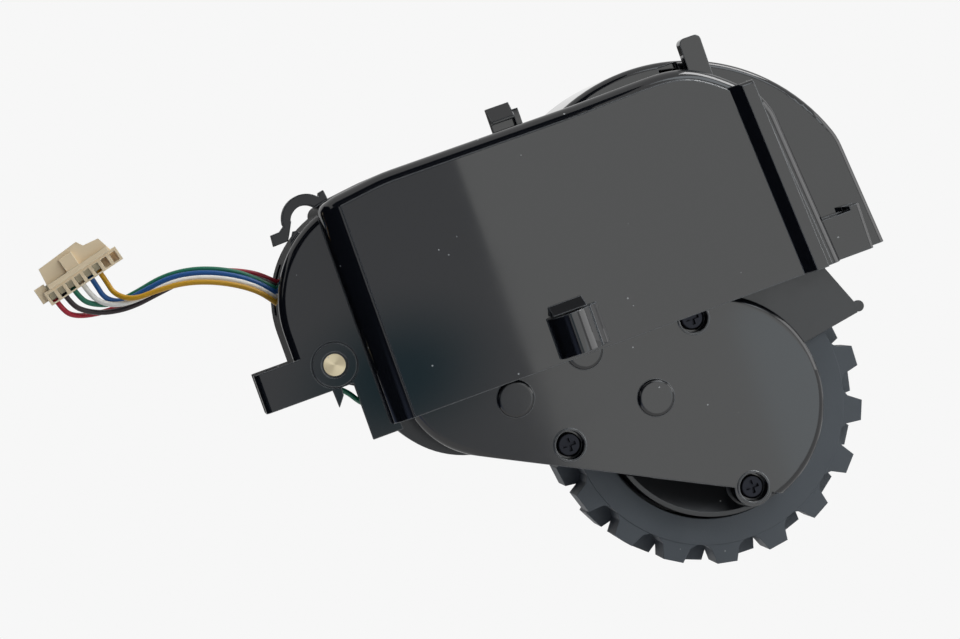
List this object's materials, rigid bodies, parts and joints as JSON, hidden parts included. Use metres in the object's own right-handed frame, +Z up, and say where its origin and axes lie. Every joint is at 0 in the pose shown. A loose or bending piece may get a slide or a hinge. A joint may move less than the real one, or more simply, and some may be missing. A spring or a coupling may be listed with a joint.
{
  "type": "robot vacuum wheel module",
  "caption": "Drive wheel module of a robot vacuum: a sprung swing arm with gearbox, motor and lugged tyre in a black moulded housing, with its wire loom and connector.",
  "frame": {"origin": "centre of the fixing ear's screw hole, on the ear's underside", "axes": "+X along the base from the fixing ear to the wheel end, +Y from the gearbox cover side to the wheel side along the wheel axle, +Z up, away from the floor"},
  "size_m": [0.1692, 0.0402, 0.1092],
  "materials": {
    "black_gloss_plastic": "moulded, glossy with fine handling marks",
    "black_cover_plastic": "moulded, satin gloss",
    "black_shell_plastic": "moulded, satin",
    "pin_steel": "turned, slightly yellow",
    "spring_steel": "drawn wire",
    "dark_screws": "black oxide",
    "bush_bronze": "sintered",
    "motor_steel": "zinc plated",
    "cap_plastic": "moulded nylon",
    "gear_plastic": "moulded acetal",
    "gear_brass": "machined",
    "gear_steel": "sintered steel",
    "magnet_black": "bonded ferrite",
    "board_green": "solder mask",
    "terminal_brass": "tinned",
    "tyre_rubber": "soft rubber, slightly dusty",
    "hub_plastic": "moulded",
    "connector_cream": "moulded nylon",
    "wire_red": "PVC",
    "wire_black": "PVC",
    "wire_green": "PVC",
    "wire_white": "PVC",
    "wire_blue": "PVC",
    "wire_yellow": "PVC"
  },
  "bodies": {
    "housing": {"wheel_housing": "black_gloss_plastic", "pivot_pin": "pin_steel", "pivot_pin_clip": "spring_steel", "suspension_spring": "spring_steel", "red_wire": "wire_red", "black_wire": "wire_black", "green_wire": "wire_green", "white_wire": "wire_white", "blue_wire": "wire_blue", "yellow_wire": "wire_yellow", "green_motor_lead": "wire_green", "connector_housing": "connector_cream", "connector_terminals": "terminal_brass"},
    "arm": {"gearbox_rear_shell": "black_shell_plastic", "gearbox_front_cover": "black_cover_plastic", "cover_screws": "dark_screws", "pivot_bushes": "bush_bronze", "motor_can": "motor_steel", "motor_end_cap": "cap_plastic", "motor_screws": "dark_screws", "gear_pins": "motor_steel", "axle_bearings": "motor_steel", "speed_sensor_board": "board_green", "motor_terminals": "terminal_brass"},
    "wheel": {"tyre": "tyre_rubber", "wheel_hub": "hub_plastic", "wheel_axle": "motor_steel", "output_gear": "gear_steel", "hub_screw": "dark_screws", "hub_washer": "motor_steel"},
    "third_gear_body": {"third_gear": "gear_plastic"},
    "second_gear_body": {"second_gear": "gear_plastic"},
    "first_gear_body": {"first_gear": "gear_plastic"},
    "motor_rotor": {"motor_shaft": "motor_steel", "motor_pinion": "gear_brass", "sensor_magnet": "magnet_black"}
  },
  "joints": [
    {"name": "arm_pivot", "type": "hinge", "parent": "housing", "child": "arm", "pos_m": [0.0122, 0.008, 0.0048], "axis": [0, -1, 0], "range_deg": [0, 20], "stiffness_Nm_per_rad": 0.8, "springref_deg": -40.11, "deforming": ["suspension_spring"]},
    {"name": "wheel_spin", "type": "hinge", "parent": "arm", "child": "wheel", "pos_m": [0.08314, 0.008, -0.02995], "axis": [0, 1, 0], "continuous": true},
    {"name": "third_gear_spin", "type": "hinge", "parent": "arm", "child": "third_gear_body", "pos_m": [0.07174, -0.002, -0.02382], "axis": [0, 1, 0], "continuous": true},
    {"name": "second_gear_spin", "type": "hinge", "parent": "arm", "child": "second_gear_body", "pos_m": [0.06088, -0.004, -0.00965], "axis": [0, 1, 0], "continuous": true},
    {"name": "first_gear_spin", "type": "hinge", "parent": "arm", "child": "first_gear_body", "pos_m": [0.0443, -0.004, -0.01404], "axis": [0, 1, 0], "continuous": true},
    {"name": "motor_spin", "type": "hinge", "parent": "arm", "child": "motor_rotor", "pos_m": [0.03535, 0.008, -0.00326], "axis": [0, 1, 0], "continuous": true}
  ],
  "couplings": [
    {"joint": "third_gear_spin", "follows": "wheel_spin", "ratio": -1.8462},
    {"joint": "second_gear_spin", "follows": "wheel_spin", "ratio": 6},
    {"joint": "first_gear_spin", "follows": "wheel_spin", "ratio": -18.5},
    {"joint": "motor_spin", "follows": "wheel_spin", "ratio": 43.167}
  ]
}
